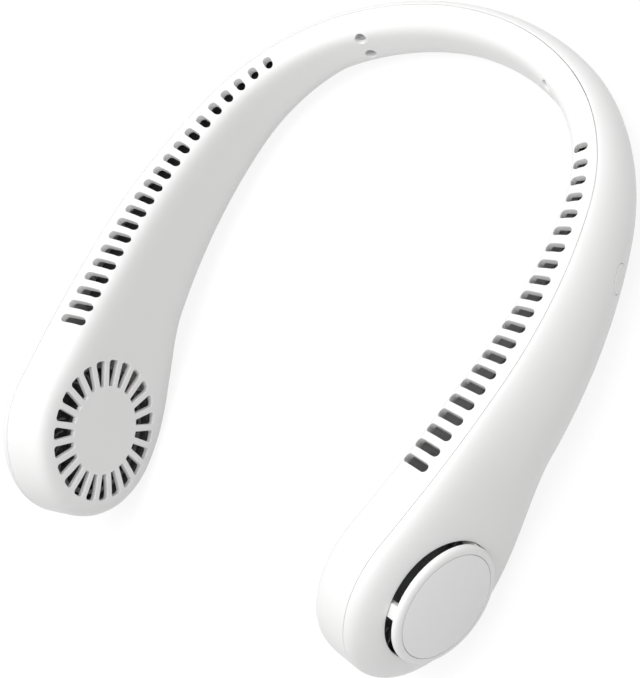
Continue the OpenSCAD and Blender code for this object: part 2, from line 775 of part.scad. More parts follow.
// Share of the way from the board to the motor, offset u, share of the arm's depth
motor_wire_shares = [[1, -14.1, 0.53], [0.89, -14.2, 0.57], [0.76, -13.6, 0.61], [0.59, -13, 0.64],
    [0.34, -12.6, 0.64], [0.13, -11.3, 0.62], [0.04, -5, 0.605], [0, -1, 0.605]];
motor_wire_knots = [for (k = motor_wire_shares) let (s = mix(wire_start_s, wire_end_s, k[0]))
    [s, k[1], -k[2] * depth(s)]];
neck_wire_knots = [[-132.6, -0.6, -20.6], [-120, -2, -19], [-90, -3, -15], [-62, -1, -10.5],
    [-48, 0, -8.8], [-20, 0.5, -9], [20, 0.5, -9], [48, 0, -8.8], [62, -1, -10.5],
    [90, -1.5, -15], [104, 0.6, -17.6], [113.4, 1, -18.6]];

module motor_wires() { wire(motor_wire_knots, 18, "#c03a30"); }
module neck_wires() { rest() wire(neck_wire_knots, 46, "#c03a30"); }

inner_shell();
outer_shell();
left_side() intake_cap();  // left_intake_cap
right_side() intake_cap();  // right_intake_cap
left_side() cap_plate();  // left_cap_plate
right_side() cap_plate();  // right_cap_plate
left_side() impeller();  // left_impeller
right_side() impeller();  // right_impeller
left_side() rotor_cup();  // left_rotor_cup
right_side() rotor_cup();  // right_rotor_cup
left_side() magnet();  // left_magnet
right_side() magnet();  // right_magnet
left_side() motor_shaft();  // left_shaft
right_side() motor_shaft();  // right_shaft
left_side() motor_base();  // left_motor_base
right_side() motor_base();  // right_motor_base
left_side() motor_board();  // left_motor_board
right_side() motor_board();  // right_motor_board
left_side() stator();  // left_stator
right_side() stator();  // right_stator
left_side() coils();  // left_coils
right_side() coils();  // right_coils
left_side() bearings();  // left_bearings
right_side() bearings();  // right_bearings
left_side() scroll();  // left_scroll
right_side() scroll();  // right_scroll
left_side() duct_wall();  // left_duct_wall
right_side() duct_wall();  // right_duct_wall
left_side() cell();  // left_cell
right_side() cell();  // right_cell
right_side() main_board();
right_side() charging_socket();
right_side() push_switch();
right_side() switch_plunger();
right_side() status_lamp();
right_side() control_chip();
right_side() power_button();
shell_screws();
motor_screws();
left_side() motor_wires();  // left_motor_wires
right_side() motor_wires();  // right_motor_wires
neck_wires();
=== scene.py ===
"""Looks of an electric neck fan: smooth shells with rounded cuts, caps, button and finishes."""
import json
import math

import bmesh
import bpy
import numpy as np
from mathutils import Matrix, Vector
from mathutils.bvhtree import BVHTree


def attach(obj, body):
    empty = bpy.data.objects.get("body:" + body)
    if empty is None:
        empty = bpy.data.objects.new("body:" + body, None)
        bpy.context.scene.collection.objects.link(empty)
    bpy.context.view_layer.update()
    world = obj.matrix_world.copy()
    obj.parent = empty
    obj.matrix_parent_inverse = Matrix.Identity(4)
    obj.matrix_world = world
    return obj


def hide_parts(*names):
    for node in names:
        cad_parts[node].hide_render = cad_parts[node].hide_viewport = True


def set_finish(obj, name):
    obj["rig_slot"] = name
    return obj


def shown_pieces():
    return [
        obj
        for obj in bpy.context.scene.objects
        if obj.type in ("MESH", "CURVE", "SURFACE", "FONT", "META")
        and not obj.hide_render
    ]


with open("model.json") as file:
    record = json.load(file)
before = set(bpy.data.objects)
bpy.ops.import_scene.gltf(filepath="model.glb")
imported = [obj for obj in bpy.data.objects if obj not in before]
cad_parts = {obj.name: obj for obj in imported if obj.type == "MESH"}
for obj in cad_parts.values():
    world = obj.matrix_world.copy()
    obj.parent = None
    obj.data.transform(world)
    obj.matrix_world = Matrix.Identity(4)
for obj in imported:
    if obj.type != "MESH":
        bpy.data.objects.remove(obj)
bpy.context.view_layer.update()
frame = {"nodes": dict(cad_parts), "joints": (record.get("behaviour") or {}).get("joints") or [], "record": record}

mm = 0.001

# Sizes of the collar, as in the frame
SEAM_BACK = 102.1 * mm
ARC_RADII = [102 * mm, 80.9 * mm, 194 * mm, 490 * mm]
ARC_TURNS = [28.05, 46.6, 20.1, 5.5]
STRAIGHT_RUN = 14.75 * mm
LOBE_RADIUS = 32.8 * mm
BACK_DEPTH = 20 * mm
TAPER_START = 64 * mm
TAPER_BLEND = 2.3 * mm
TAPER_SHARE = 0.198
FLARE_RUN = 59.4 * mm
OUTER_HALF = [5.8 * mm, 8.9 * mm]
INNER_HALF = [10.1 * mm, 17.5 * mm]
SWELL_RUN = 163 * mm
INNER_START = 64 * mm
INNER_RUN = 145 * mm
OUTER_POWERS = [1.67, 2.36]
INNER_POWERS = [3.1, 7.4]
LEAN = [-2.4, 2.1]
WALL = 1.8 * mm

# Parting line between the shells
SEAM_GAP = 0.1 * mm
SEAM_ROUND = 0.18 * mm

# Air slots
SLOT_COUNT = 21
SLOT_WIDTH = 3.2 * mm
SLOT_PITCH = 6.12 * mm
SLOT_SPREAD = 0.06 * mm
SLOT_FIRST = 27.6 * mm
SLOT_OUT = 4 * mm
SLOT_IN = 2.8 * mm
SLOT_BACK_SHARE = 0.8
SLOT_DEPTH = 8 * mm
SLOT_EDGE = 0.22 * mm
BAND_RUN = [56 * mm, 222 * mm]
BAND_DROPS = [1.2 * mm, 2.8 * mm]
BAND_EDGES = [3.4 * mm, 2.4 * mm]
BAND_STEPS = 60

# Grille
GRILLE_COUNT = 23
GRILLE_IN = 16.4 * mm
GRILLE_OUT = 26 * mm
GRILLE_IN_WIDTH = 2.1 * mm
GRILLE_OUT_WIDTH = 4.4 * mm
GRILLE_CORNERS = [0.35 * mm, 1.2 * mm]
GRILLE_DEPTH = 3 * mm
GRILLE_EDGE = 0.3 * mm

# Intake opening and cap
OPENING_RADIUS = 21.7 * mm
OPENING_DEPTH = 4 * mm
OPENING_EDGE = 0.4 * mm
CAP_GAP = 0.1 * mm
CAP_THICKNESS = 2.5 * mm
CAP_STAND = 3.3 * mm
CAP_DROP = 1.6 * mm
CAP_EDGE = 0.3 * mm
PLATE_RADIUS = 18.8 * mm
PLATE_THICKNESS = 0.8 * mm
PLATE_EDGE = 0.12 * mm
PLATE_GAP = 0.25 * mm
LEG_COUNT = 3
LEG_WIDTH = 5 * mm
LEG_TURN = 53
LEG_DEPTH = 5.5 * mm
LEG_INSET = 2.6 * mm
LEG_CORNER = 0.3 * mm
HOOK_REACH = 1.4 * mm
HOOK_THICKNESS = 0.7 * mm

# Button, S along the parting line from the back, and charging port, set off from the button
BUTTON_S = 130 * mm
BUTTON_DROP = 19 * mm
BUTTON_LENGTH = 10.4 * mm
BUTTON_WIDTH = 6.4 * mm
BUTTON_GAP = 0.2 * mm
BUTTON_EDGE = 0.35 * mm
BUTTON_PROUD = 0.06 * mm
BUTTON_FOOT = 4.655 * mm
FLANGE_REACH = 0.8 * mm
FLANGE_THICKNESS = 0.7 * mm
CUT_EDGE = 0.2 * mm
CUT_DEPTH = 4 * mm
PORT_X = 3.2 * mm
PORT_Y = 10.5 * mm
PORT_LENGTH = 9.6 * mm
PORT_WIDTH = 3.8 * mm

# Shell screws and motor bosses
SCREW_S = 49 * mm
SCREW_DROPS = [4.4 * mm, 13.2 * mm]
SCREW_BORE = 2.1 * mm
SCREW_CLEAR = 1.1 * mm
SCREW_EDGE = 0.3 * mm
TUBE_RADIUS = 3.1 * mm
TUBE_STARTS = [7.8 * mm, 9.3 * mm]
TUBE_END = 2.9 * mm
TUBE_FLOOR = 1 * mm
POST_RADIUS = 2.4 * mm
POST_ENDS = [2.8 * mm, 4.5 * mm]
POST_BORE = 1.02 * mm
POST_DEPTH = 2.6 * mm
BOSS_CIRCLE = 14 * mm
BOSS_RADIUS = 2.2 * mm
BOSS_BORE = 0.77 * mm
BOSS_HEIGHT = 1 * mm
BOSS_COUNT = 3

# Fineness of the modelled skins, angles in degrees
ARM_STEP = 2 * mm
TIP_STEP = 3.5
TIP_END = 89.5
SECTION_SAMPLES = 400
SECTION_POINTS = 52
SEAM_ANGLES = (30, 60, 90)
CAP_ARC_STEP = 6
CORNER_SHARE = 0.3
BUTTON_FACE_SHARES = (0.48, 0.35, 0.2, 0.1)
BUTTON_ANGLES = (15, 40, 65, 90)

# Points round a turned or cut form
SLOT_TURNS = 32
LEG_TURNS = 16
BOSS_BORE_TURNS = 24
POST_BORE_TURNS = 32
ROUND_TURNS = 48
LOBE_TURNS = 128
STRAIGHT_PARTS = 8

# Cutting tools: steps of a mouth's rounding, the lip's height in roundings, and their reach
MOUTH_ANGLES = (20, 45, 70)
LIP_TIMES_EDGE = 8
FAR = 60 * mm

# Shading of the skin: sharp edges, and how near and how parallel to it a face has to be
SHARP_ANGLE = 38
SKIN_NEAR = 0.05 * mm
SKIN_MATCH = 0.985
WEIGHT_FLOOR = 1e-7
TINY = 1e-12


# Course of the collar
def ease(t):
    """A smooth step from 0 to 1."""
    t = min(1.0, max(0.0, t))
    return t * t * (3 - 2 * t)


def mix(pair, t):
    """A value between two, the first at 0 and the second at 1."""
    return pair[0] + (pair[1] - pair[0]) * t


def plan_at(s):
    """Point of the parting line at length s from the middle of the back, and its outward angle."""
    x, y, a = 0.0, SEAM_BACK, math.radians(90)
    for radius, turn in zip(ARC_RADII, ARC_TURNS):
        run = min(s, radius * math.radians(turn))
        t = run / radius
        x += radius * (math.cos(a - t) - math.cos(a))
        y += radius * (math.sin(a - t) - math.sin(a))
        a -= t
        s -= run
    return x + s * math.sin(a), y - s * math.cos(a), a


LOBE_S = sum(r * math.radians(t) for r, t in zip(ARC_RADII, ARC_TURNS)) + STRAIGHT_RUN
FLARE_START = LOBE_S - FLARE_RUN


def flare(s):
    return ease((s - FLARE_START) / FLARE_RUN)


def depth(s):
    """Height of the section: level at the back, tapering along the arm, flaring into the lobe."""
    ahead = s - TAPER_START
    arm = BACK_DEPTH + TAPER_SHARE * (math.hypot(ahead, TAPER_BLEND) + ahead) / 2
    return mix([arm, 2 * LOBE_RADIUS], flare(s))


def half_width(s, side):
    """How far the skin stands off the parting sheet, on its outer (1) or inner (-1) side."""
    if side > 0:
        return mix(OUTER_HALF, ease(s / SWELL_RUN))
    return mix(INNER_HALF, ease((s - INNER_START) / INNER_RUN))


def power(s, side):
    """Power of the superellipse that shapes the section: 2 is round, and more is squarer."""
    if side > 0:
        return mix(OUTER_POWERS, flare(s))
    return mix(INNER_POWERS, min(1.0, s / LOBE_S))


def lean(s):
    """How far the section's top leans outward, as an angle."""
    return math.radians(mix(LEAN, min(1.0, s / LOBE_S)))


# From the level frame of the collar to the frame in which it lies
spin = next(j for j in frame["joints"] if j["name"] == "right_fan_spin")
lobe_x, lobe_y, lobe_angle = plan_at(LOBE_S)
level_axis = (math.cos(lean(LOBE_S)) * math.sin(lobe_angle), -math.sin(lean(LOBE_S)))
TILT = math.atan2(level_axis[1], level_axis[0]) - math.atan2(spin["axis"][2], spin["axis"][1])


def turned(v):
    """A direction of the level frame, in the frame in which the collar lies."""
    return Matrix.Rotation(-TILT, 3, "X") @ Vector(v)


SHIFT = Vector(spin["pos_m"]) - turned((lobe_x, lobe_y, -LOBE_RADIUS))


def mirrored(points):
    """The same points on the other arm."""
    return [Vector((-p.x, p.y, p.z)) for p in points]


class Spot:
    """A place on the right arm, with directions out from the parting sheet, to the back, and up."""

    def __init__(self, s, drop, slope=0.0):
        x, y, a = plan_at(s)
        t = lean(s)
        middle = turned((x, y, -depth(s) / 2)) + SHIFT
        along = turned((math.sin(t) * math.cos(a), math.sin(t) * math.sin(a), math.cos(t)))
        self.origin = middle + along * (depth(s) / 2 - drop)
        self.out = turned((math.cos(t) * math.cos(a), math.cos(t) * math.sin(a), -math.sin(t)))
        level = turned((-math.sin(a), math.cos(a), 0))
        self.back = level * math.cos(slope) + along * math.sin(slope)
        self.up = self.out.cross(self.back)

    def point(self, out, back, up):
        return self.origin + self.out * out + self.back * back + self.up * up


# Skins of the shells
def first_run(run, u, clip):
    """How far along the section its offset reaches clip."""
    k = int(np.argmax(u >= clip))
    return run[0] if k == 0 else np.interp(clip, u[k - 1:k + 1], run[k - 1:k + 1])


def section(s, tip, side, inset, clip):
    """Points down one side of the collar at equal steps, the first and last clip off the sheet."""
    i = np.linspace(0, 1, SECTION_SAMPLES)
    c = np.cos(math.pi * (1 - np.cos(math.pi * i)) / 2)
    n = power(s, side)
    e = np.sign(c) * np.abs(c) ** (2 / n)
    if tip is None:
        high, middle, rho = depth(s) / 2 - inset, -depth(s) / 2, np.abs(e)
    else:
        high, middle = (LOBE_RADIUS - inset) * math.cos(tip), -LOBE_RADIUS
        rho = np.hypot(math.sin(tip), math.cos(tip) * e)
        s = LOBE_S + (LOBE_RADIUS - inset) * math.sin(tip)
    u = (half_width(s, side) - inset) * np.maximum(0, 1 - rho ** n) ** (1 / n)
    z = middle + high * e
    run = np.concatenate([[0], np.cumsum(np.hypot(np.diff(u), np.diff(z)))])
    start = first_run(run, u, clip)
    end = run[-1] - first_run(run[-1] - run[::-1], u[::-1], clip)
    steps = np.linspace(start, end, SECTION_POINTS)
    spot = Spot(s, -middle)
    return [spot.point(side * a, 0, b - middle)
            for a, b in zip(np.interp(steps, run, u), np.interp(steps, run, z))]


def stations():
    """Lengths along the right arm, each with its angle round the lobe's tip, if it has one."""
    count = round(LOBE_S / ARM_STEP)
    arm = [(LOBE_S * i / count, None) for i in range(count + 1)]
    tips = np.arange(TIP_STEP, TIP_END, TIP_STEP)
    return arm + [(LOBE_S, math.radians(float(t))) for t in tips]


def skin(side, inset, clip):
    """Sections from the left tip over the back to the right tip."""
    right = [section(s, tip, side, inset, clip) for s, tip in stations()]
    return [mirrored(ring) for ring in right[:0:-1]] + right


def sheet_outs():
    """The outward direction of the parting sheet at each section."""
    right = []
    for s, tip in stations():
        reach = s if tip is None else LOBE_S + LOBE_RADIUS * math.sin(tip)
        right.append(Spot(reach, 0).out)
    return mirrored(right[:0:-1]) + right


def grid_faces(rings, start=0):
    """Four-sided faces between neighbouring sections."""
    n = SECTION_POINTS
    return [(a, a + n, a + n + 1, a + 1) for i in range(rings - 1) for j in range(n - 1)
            for a in [start + i * n + j]]


def new_object(name, verts, faces):
    """A smooth closed mesh, its faces turned outward."""
    mesh = bpy.data.meshes.new(name)
    mesh.from_pydata([tuple(v) for v in verts], [], faces)
    shape = bmesh.new()
    shape.from_mesh(mesh)
    bmesh.ops.recalc_face_normals(shape, faces=shape.faces)
    shape.to_mesh(mesh)
    shape.free()
    mesh.shade_smooth()
    piece = bpy.data.objects.new(name, mesh)
    bpy.context.scene.collection.objects.link(piece)
    return piece


def half_shell(name, side):
    """A trough of constant wall, its rim rounded along the parting line."""
    outer = skin(side, 0, SEAM_GAP + SEAM_ROUND)
    inner = skin(side, WALL, SEAM_GAP)
    outs = sheet_outs()
    rings, n = len(outer), SECTION_POINTS
    verts = [p for ring in outer + inner for p in ring]
    base = rings * n
    faces = grid_faces(rings) + grid_faces(rings, base)
    for start in (0, (rings - 1) * n, base, base + (rings - 1) * n):
        faces.append(list(range(start, start + n)))
    loop = [i * n for i in range(rings)] + [i * n + n - 1 for i in reversed(range(rings))]
    edge = [verts[i] for i in loop]
    out = outs + outs[::-1]
    size = len(loop)
    rims = [loop]
    for t in [math.radians(a) for a in SEAM_ANGLES]:
        rims.append(list(range(len(verts), len(verts) + size)))
        for i in range(size):
            inward = out[i].cross(edge[(i + 1) % size] - edge[i - 1]).normalized()
            verts.append(edge[i] - out[i] * (side * SEAM_ROUND * math.sin(t))
                         + inward * (SEAM_ROUND * (1 - math.cos(t))))
    rims.append([base + i for i in loop])
    for a, b in zip(rims, rims[1:]):
        faces += [(a[i - 1], a[i], b[i], b[i - 1]) for i in range(size)]
    return new_object(name, verts, faces)


class Skin:
    """The whole outer surface, to set features on and to take smooth directions from."""

    def __init__(self):
        rings = {side: skin(side, 0, 0) for side in (1, -1)}
        count = len(rings[1])
        self.points = np.array([p for side in (1, -1) for ring in rings[side] for p in ring])
        faces = grid_faces(count) + grid_faces(count, count * SECTION_POINTS)
        self.tree = BVHTree.FromPolygons([Vector(p) for p in self.points], faces)
        self.faces = faces
        self.normals = self.smooth_normals(rings)

    def smooth_normals(self, rings):
        """Normals across the grid, outward at every point."""
        normals = []
        for side in (1, -1):
            p = np.array([[tuple(v) for v in ring] for ring in rings[side]])
            n = np.cross(np.gradient(p, axis=0), np.gradient(p, axis=1)) * side
            lengths = np.linalg.norm(n, axis=2, keepdims=True)
            normals.append((n / np.maximum(lengths, TINY)).reshape(-1, 3))
        return np.concatenate(normals)

    def hit(self, start, toward):
        """Where a line from outside first meets the skin."""
        return self.tree.ray_cast(start - toward * FAR, toward)[0]

    def normal(self, point):
        """Smooth direction and distance of the nearest place on the skin."""
        near, flat, index, away = self.tree.find_nearest(point)
        corners = self.faces[index]
        weights = [1 / (WEIGHT_FLOOR + (near - Vector(self.points[i])).length_squared)
                   for i in corners]
        n = sum((Vector(self.normals[i]) * w for i, w in zip(corners, weights)), Vector())
        n.normalize()
        return (n if n.dot(flat) > 0 else -n), away


body_skin = Skin()


# Lofts and cuts
def outline(circles, grow, turns, fill=STRAIGHT_PARTS):
    """Points round the hull of circles (x, y, radius) grown by a margin, its straights divided."""
    found = []
    for k in range(turns):
        t = 2 * math.pi * (k + 0.5) / turns
        x, y, r = max(circles, key=lambda c: c[0] * math.cos(t) + c[1] * math.sin(t) + c[2])
        point = Vector((x + (r + grow) * math.cos(t), y + (r + grow) * math.sin(t)))
        found.append(((x, y), point))
    points = []
    for (centre, a), (other, b) in zip(found, found[1:] + found[:1]):
        parts = 1 if centre == other else fill
        points += [a.lerp(b, i / parts) for i in range(parts)]
    return points


def pill(length, width):
    """The two end circles of an oblong."""
    reach = (length - width) / 2
    return [(-reach, 0, width / 2), (reach, 0, width / 2)]


def lofted(name, lofts):
    """One object of closed solids, each a tube through its loops with flat ends."""
    verts, faces = [], []
    for loops in lofts:
        size = len(loops[0])
        start = len(verts)
        verts += [p for ring in loops for p in ring]
        for k in range(len(loops) - 1):
            a = start + k * size
            faces += [(a + i, a + (i + 1) % size, a + size + (i + 1) % size, a + size + i)
                      for i in range(size)]
        end = start + (len(loops) - 1) * size
        faces += [list(range(start, start + size)), list(range(end, end + size))]
    return new_object(name, verts, faces)


def both_sides(lofts):
    """Solids of the right arm, and their mirror images on the left."""
    return lofts + [[mirrored(ring) for ring in loops] for loops in lofts]


def cut(circles, origin, across, along, toward, edge, deep, turns=SLOT_TURNS):
    """Loops of a cut into the skin, from a lip above it through a rounded mouth."""
    def loop(grow, sink):
        start = [origin + across * p.x + along * p.y for p in outline(circles, grow, turns)]
        return [body_skin.hit(p, toward) + toward * sink for p in start]

    angles = [math.radians(t) for t in MOUTH_ANGLES]
    mouth = [loop(edge * (1 - math.sin(t)), edge * (1 - math.cos(t))) for t in angles]
    lip = loop(edge * (1 - math.sin(angles[0])), -LIP_TIMES_EDGE * edge)
    return [lip] + mouth + [loop(0, edge), loop(0, deep)]


def turned_loops(spot, profile, turns, back=0.0, up=0.0):
    """Loops round an axis that runs outward at a spot, through (radius, offset) pairs."""
    angles = [2 * math.pi * i / turns for i in range(turns)]
    return [[spot.point(u, back + r * math.cos(t), up + r * math.sin(t)) for t in angles]
            for r, u in profile]


def carve(piece, tool, operation="DIFFERENCE"):
    """Cuts a tool out of a piece, or joins it on, and removes the tool."""
    boolean = piece.modifiers.new("carve", "BOOLEAN")
    boolean.object = tool
    boolean.operation = operation
    boolean.solver = "MANIFOLD"
    depsgraph = bpy.context.evaluated_depsgraph_get()
    mesh = bpy.data.meshes.new_from_object(piece.evaluated_get(depsgraph))
    piece.modifiers.clear()
    piece.data = mesh
    bpy.data.objects.remove(tool)


def smooth_skin(piece):
    """Shades the outer faces by the whole skin, so that no cut shows in the shading round it."""
    mesh = piece.data
    mesh.shade_smooth()
    mesh.set_sharp_from_angle(angle=math.radians(SHARP_ANGLE))
    normals = np.empty(len(mesh.loops) * 3)
    mesh.corner_normals.foreach_get("vector", normals)
    normals = normals.reshape(-1, 3)
    found = {}
    for face in mesh.polygons:
        n, away = body_skin.normal(face.center)
        if away > SKIN_NEAR or n.dot(face.normal) < SKIN_MATCH:
            continue
        for i in face.loop_indices:
            v = mesh.loops[i].vertex_index
            if v not in found:
                found[v] = body_skin.normal(mesh.vertices[v].co)[0]
            normals[i] = found[v]
    mesh.normals_split_custom_set([tuple(n) for n in normals])


lobe = Spot(LOBE_S, LOBE_RADIUS)
button = Spot(BUTTON_S, BUTTON_DROP, math.atan(TAPER_SHARE))
screws = [Spot(SCREW_S, drop) for drop in SCREW_DROPS]
FLOOR = WALL - INNER_HALF[1]


def air_slots():
    """Slots through the top strip, a little further apart toward the back."""
    lofts = []
    for k in range(SLOT_COUNT):
        far = max(0, k - SLOT_COUNT / 2 + 0.5)
        s = LOBE_S - SLOT_FIRST - SLOT_PITCH * k - SLOT_SPREAD * far ** 2
        share = mix([SLOT_BACK_SHARE, 1], ease((s - INNER_START) / INNER_RUN))
        length = half_width(s, -1) - share * (SLOT_IN + SLOT_OUT)
        spot = Spot(s, 0)
        middle = spot.point(-share * SLOT_OUT - length / 2, 0, 0)
        lofts.append(cut(pill(length, SLOT_WIDTH), middle, spot.out, spot.back, -spot.up,
                         SLOT_EDGE, SLOT_DEPTH))
    return both_sides(lofts)


def slot_band():
    """A thicker band of wall under the top strip, through which the slots run."""
    loops = []
    high, low = BAND_DROPS
    for i in range(BAND_STEPS + 1):
        s = mix(BAND_RUN, i / BAND_STEPS)
        spot = Spot(s, 0)
        inner, outer = BAND_EDGES[0] - half_width(s, -1), -BAND_EDGES[1]
        corners = ((inner, -high), (outer, -high), (outer, -low), (inner, -low))
        loops.append([spot.point(u, 0, z) for u, z in corners])
    return both_sides([loops])


def grille_slots():
    """Radial slots round the solid middle of the grille."""
    lofts = []
    tight, round_off = GRILLE_CORNERS
    narrow = GRILLE_IN_WIDTH / 2 - tight
    wide = GRILLE_OUT_WIDTH / 2 - round_off
    near, away = GRILLE_IN + tight, GRILLE_OUT - round_off
    circles = [(near, -narrow, tight), (near, narrow, tight),
               (away, -wide, round_off), (away, wide, round_off)]
    for i in range(GRILLE_COUNT):
        t = 2 * math.pi * (i + 0.5) / GRILLE_COUNT
        across = lobe.back * math.sin(t) - lobe.up * math.cos(t)
        along = lobe.back * math.cos(t) + lobe.up * math.sin(t)
        lofts.append(cut(circles, lobe.origin, across, along, lobe.out,
                         GRILLE_EDGE, GRILLE_DEPTH))
    return both_sides(lofts)


def boss_loops(radius, low, high, turns):
    """A round solid at each motor screw, between two heights."""
    lofts = []
    for i in range(BOSS_COUNT):
        t = 2 * math.pi * i / BOSS_COUNT
        lofts.append(turned_loops(lobe, [(radius, low), (radius, high)], turns,
                                  BOSS_CIRCLE * math.sin(t), -BOSS_CIRCLE * math.cos(t)))
    return lofts


def inner_solids():
    """Tubes for the shell screws and bosses for the motor screws."""
    tubes = [turned_loops(spot, [(TUBE_RADIUS, -start), (TUBE_RADIUS, -TUBE_END)], ROUND_TURNS)
             for spot, start in zip(screws, TUBE_STARTS)]
    bosses = boss_loops(BOSS_RADIUS, FLOOR - WALL / 2, FLOOR + BOSS_HEIGHT, ROUND_TURNS)
    return both_sides(tubes + bosses)


def screw_bore(spot):
    """A rounded mouth in the skin, a bore for the head, and a hole through the tube's floor."""
    loops = cut([(0, 0, SCREW_BORE)], spot.origin, spot.back, spot.up, spot.out,
                SCREW_EDGE, WALL, ROUND_TURNS)
    floor = -TUBE_END - TUBE_FLOOR
    angles = [2 * math.pi * (i + 0.5) / ROUND_TURNS for i in range(ROUND_TURNS)]
    for r, u in ((SCREW_BORE, floor), (SCREW_CLEAR, floor), (SCREW_CLEAR, 0)):
        loops.append([spot.point(u, r * math.cos(t), r * math.sin(t)) for t in angles])
    return loops


def inner_bores():
    """Bores for the shell screws and the motor screws."""
    bosses = boss_loops(BOSS_BORE, FLOOR - BOSS_HEIGHT, FLOOR + 2 * BOSS_HEIGHT, BOSS_BORE_TURNS)
    return both_sides([screw_bore(spot) for spot in screws]) + both_sides(bosses)


def make_inner_shell():
    piece = half_shell("inner_shell_skin", -1)
    carve(piece, lofted("tubes", inner_solids()), "UNION")
    carve(piece, lofted("band", slot_band()), "UNION")
    carve(piece, lofted("slots", air_slots()))
    carve(piece, lofted("grille", grille_slots()))
    carve(piece, lofted("bores", inner_bores()))
    smooth_skin(piece)
    return piece


def outer_solids():
    """Posts that the shell screws go into."""
    start = CAP_GAP - TUBE_END
    lofts = [turned_loops(spot, [(POST_RADIUS, start), (POST_RADIUS, end)], ROUND_TURNS)
             for spot, end in zip(screws, POST_ENDS)]
    return both_sides(lofts)


def outer_bores():
    """Pilot holes of the shell screws in their posts."""
    profile = [(POST_BORE, -TUBE_END - CAP_GAP), (POST_BORE, POST_DEPTH)]
    return both_sides([turned_loops(spot, profile, POST_BORE_TURNS) for spot in screws])


def button_hole():
    hole = pill(BUTTON_LENGTH + 2 * BUTTON_GAP, BUTTON_WIDTH + 2 * BUTTON_GAP)
    return cut(hole, button.origin, button.back, button.up, -button.out,
               CUT_EDGE, CUT_DEPTH, ROUND_TURNS)


def port_hole():
    return cut(pill(PORT_LENGTH, PORT_WIDTH), button.point(PORT_X, PORT_Y, 0),
               button.back, button.out, button.up, CUT_EDGE, CUT_DEPTH, ROUND_TURNS)


def make_outer_shell():
    piece = half_shell("outer_shell_skin", 1)
    carve(piece, lofted("posts", outer_solids()), "UNION")
    carve(piece, lofted("post_bores", outer_bores()))
    opening = cut([(0, 0, OPENING_RADIUS)], lobe.origin, lobe.back, lobe.up, -lobe.out,
                  OPENING_EDGE, OPENING_DEPTH, LOBE_TURNS)
    carve(piece, lofted("openings", both_sides([opening])))
    carve(piece, lofted("button_and_port", [button_hole(), port_hole()]))
    smooth_skin(piece)
    return piece


inner_shell = make_inner_shell()
outer_shell = make_outer_shell()
for piece, node in ((inner_shell, "inner_shell"), (outer_shell, "outer_shell")):
    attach(piece, "housing")
    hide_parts(node)
    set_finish(piece, "shell_white")


# Intake caps
cap_radius = OPENING_RADIUS - 2 * CAP_GAP
cap_top = OUTER_HALF[1] + CAP_STAND
cap_base = cap_top - CAP_THICKNESS


def cap_profile():
    """Half outline of the cap from the middle of its underside to the floor under its plate."""
    seat = PLATE_RADIUS + PLATE_GAP
    slope = seat + PLATE_EDGE
    arc = [math.radians(t) for t in range(0, 91, CAP_ARC_STEP)]
    curve = [(cap_radius - (cap_radius - slope) * (1 - math.cos(t)),
              cap_top - CAP_DROP * (1 - math.sin(t))) for t in arc]
    corner = CAP_EDGE * CORNER_SHARE
    low = [(cap_radius - CAP_EDGE, cap_base), (cap_radius - corner, cap_base + corner),
           (cap_radius, cap_base + CAP_EDGE)]
    corner = PLATE_EDGE * CORNER_SHARE
    lip = [(seat + corner, cap_top - corner), (seat, cap_top - PLATE_EDGE)]
    floor = cap_top - PLATE_THICKNESS
    return [(mm, cap_base)] + low + curve + lip + [(seat, floor), (mm, floor)]


def leg_loops(i):
    """A leg with its hook, under the cap."""
    t = math.radians(270 - LEG_TURN - 360 * i / LEG_COUNT)
    radial = lobe.back * math.sin(t) - lobe.up * math.cos(t)
    across = lobe.out.cross(radial)
    foot = cap_base - LEG_DEPTH

    def box(r0, r1, u0, u1):
        half = LEG_WIDTH / 2 - LEG_CORNER
        circles = [(r, w, LEG_CORNER) for r in (r0 + LEG_CORNER, r1 - LEG_CORNER)
                   for w in (-half, half)]
        shape = outline(circles, 0, LEG_TURNS, 1)
        return [[lobe.origin + radial * p.x + across * p.y + lobe.out * u for p in shape]
                for u in (u0, u1)]

    inside = cap_radius - LEG_INSET
    return [box(inside, cap_radius - CAP_GAP, foot, cap_base + CAP_EDGE),
            box(inside, cap_radius + HOOK_REACH, foot, foot + HOOK_THICKNESS)]


def plate_profile():
    """Half outline of the flat plate let into the cap, its upper edge rounded."""
    floor = cap_top - PLATE_THICKNESS
    corner = PLATE_EDGE * CORNER_SHARE
    return [(mm, floor), (PLATE_RADIUS, floor), (PLATE_RADIUS, cap_top - PLATE_EDGE),
            (PLATE_RADIUS - corner, cap_top - corner),
            (PLATE_RADIUS - PLATE_EDGE, cap_top), (mm, cap_top)]


def sharpen(piece):
    """Keeps the edges of a turned or lofted piece crisp in its smooth shading."""
    piece.data.set_sharp_from_angle(angle=math.radians(SHARP_ANGLE))
    return piece


for hand in ("right", "left"):
    cap = [turned_loops(lobe, cap_profile(), LOBE_TURNS)]
    for i in range(LEG_COUNT):
        cap += leg_loops(i)
    plate = [turned_loops(lobe, plate_profile(), LOBE_TURNS)]
    if hand == "left":
        cap = [[mirrored(ring) for ring in loops] for loops in cap]
        plate = [[mirrored(ring) for ring in loops] for loops in plate]
    for name, lofts, slot in (("intake_cap", cap, "shell_white"),
                              ("cap_plate", plate, "plate_grey")):
        piece = sharpen(lofted(f"{hand}_{name}_turned", lofts))
        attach(piece, "housing")
        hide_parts(f"{hand}_{name}")
        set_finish(piece, slot)


